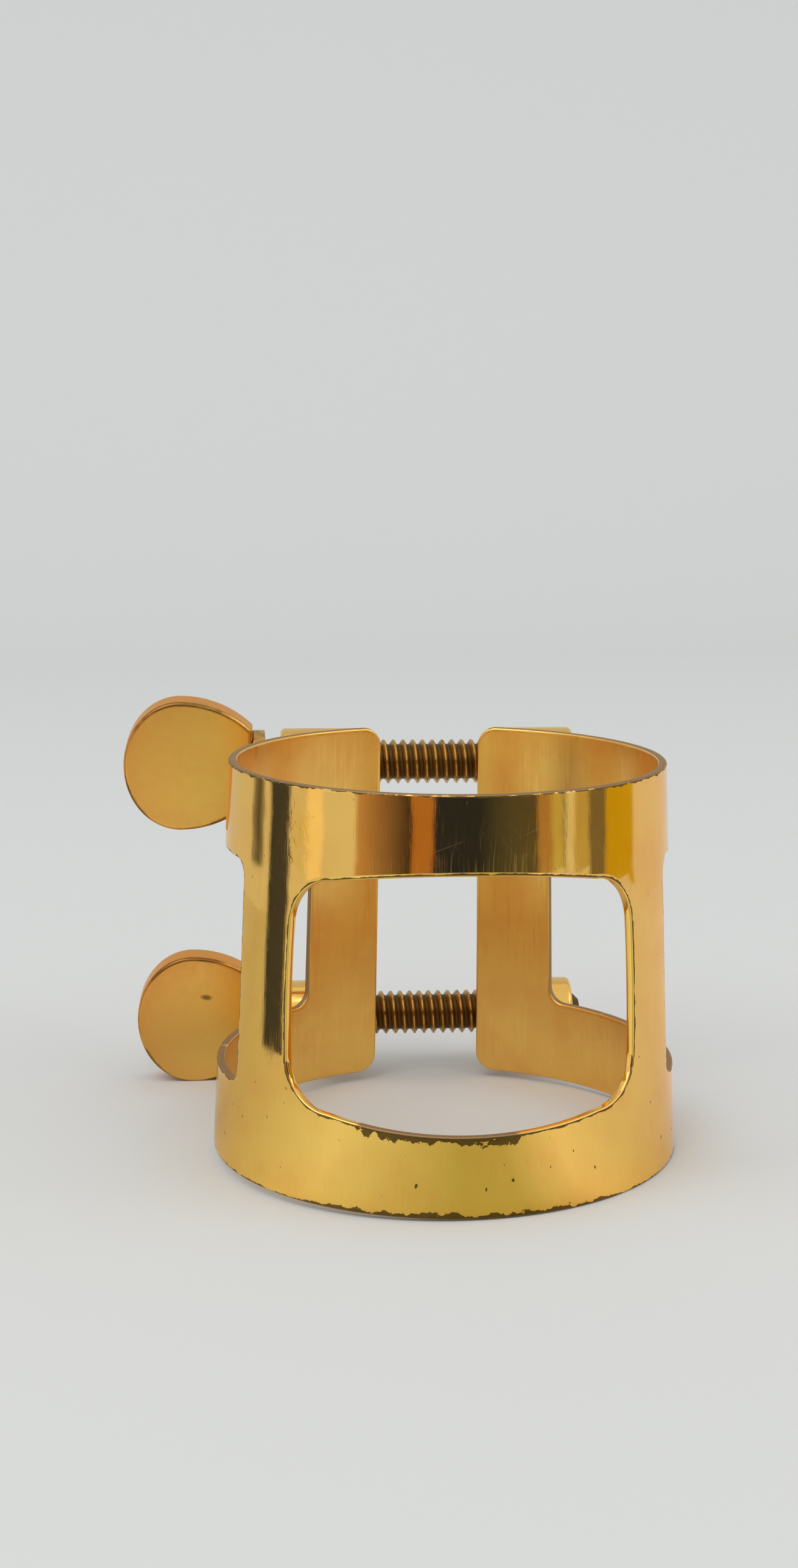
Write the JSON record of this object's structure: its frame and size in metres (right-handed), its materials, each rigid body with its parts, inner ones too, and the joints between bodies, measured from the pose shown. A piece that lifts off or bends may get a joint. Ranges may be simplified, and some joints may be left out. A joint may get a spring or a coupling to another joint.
{
  "type": "saxophone ligature",
  "caption": "Tapered gold-plated brass band with a large front window and side windows, split at the back and closed by thumbscrews with flat round paddles; clamps a reed on a mouthpiece.",
  "frame": {"origin": "on the axis of the tapered bore, in the plane of the wide rim", "axes": "+Z along the bore axis towards the narrow rim, -Y through the middle of the front window, +Y through the gap that the screws cross, -X towards the thumb paddles"},
  "size_m": [0.0332, 0.0309, 0.0256],
  "materials": {
    "plated_band": "polished gold plate, worn to brown brass at the edges",
    "posts": "polished gold plate over turned brass",
    "screw_shanks": "turned brass, lightly tarnished",
    "paddles": "polished gold plate with a tarnished rim"
  },
  "bodies": {
    "band_with_posts": {"band": "plated_band", "upper_plain_post": "posts", "upper_threaded_post": "posts", "lower_plain_post": "posts", "lower_threaded_post": "posts"},
    "upper_shank": {"upper_screw_shank": "screw_shanks"},
    "upper_thumb": {"upper_paddle": "paddles"},
    "lower_shank": {"lower_screw_shank": "screw_shanks"},
    "lower_thumb": {"lower_paddle": "paddles"}
  },
  "joints": [
    {"name": "upper_screw_feed", "type": "slide", "parent": "band_with_posts", "child": "upper_shank", "axis": [1, 0, 0], "range_m": [-0.00333, 0.00095]},
    {"name": "upper_screw_turn", "type": "hinge", "parent": "upper_shank", "child": "upper_thumb", "pos_m": [-0.0155, 0.01431, 0.0204], "axis": [1, 0, 0], "range_deg": [-1890, 540]},
    {"name": "lower_screw_feed", "type": "slide", "parent": "band_with_posts", "child": "lower_shank", "axis": [1, 0, 0], "range_m": [-0.00429, 0]},
    {"name": "lower_screw_turn", "type": "hinge", "parent": "lower_shank", "child": "lower_thumb", "pos_m": [-0.0148, 0.01501, 0.00335], "axis": [1, 0, 0], "range_deg": [-2430, 0]}
  ],
  "couplings": [
    {"joint": "upper_screw_turn", "follows": "upper_screw_feed", "rad_per_m": 9894.8},
    {"joint": "lower_screw_turn", "follows": "lower_screw_feed", "rad_per_m": 9894.8}
  ]
}
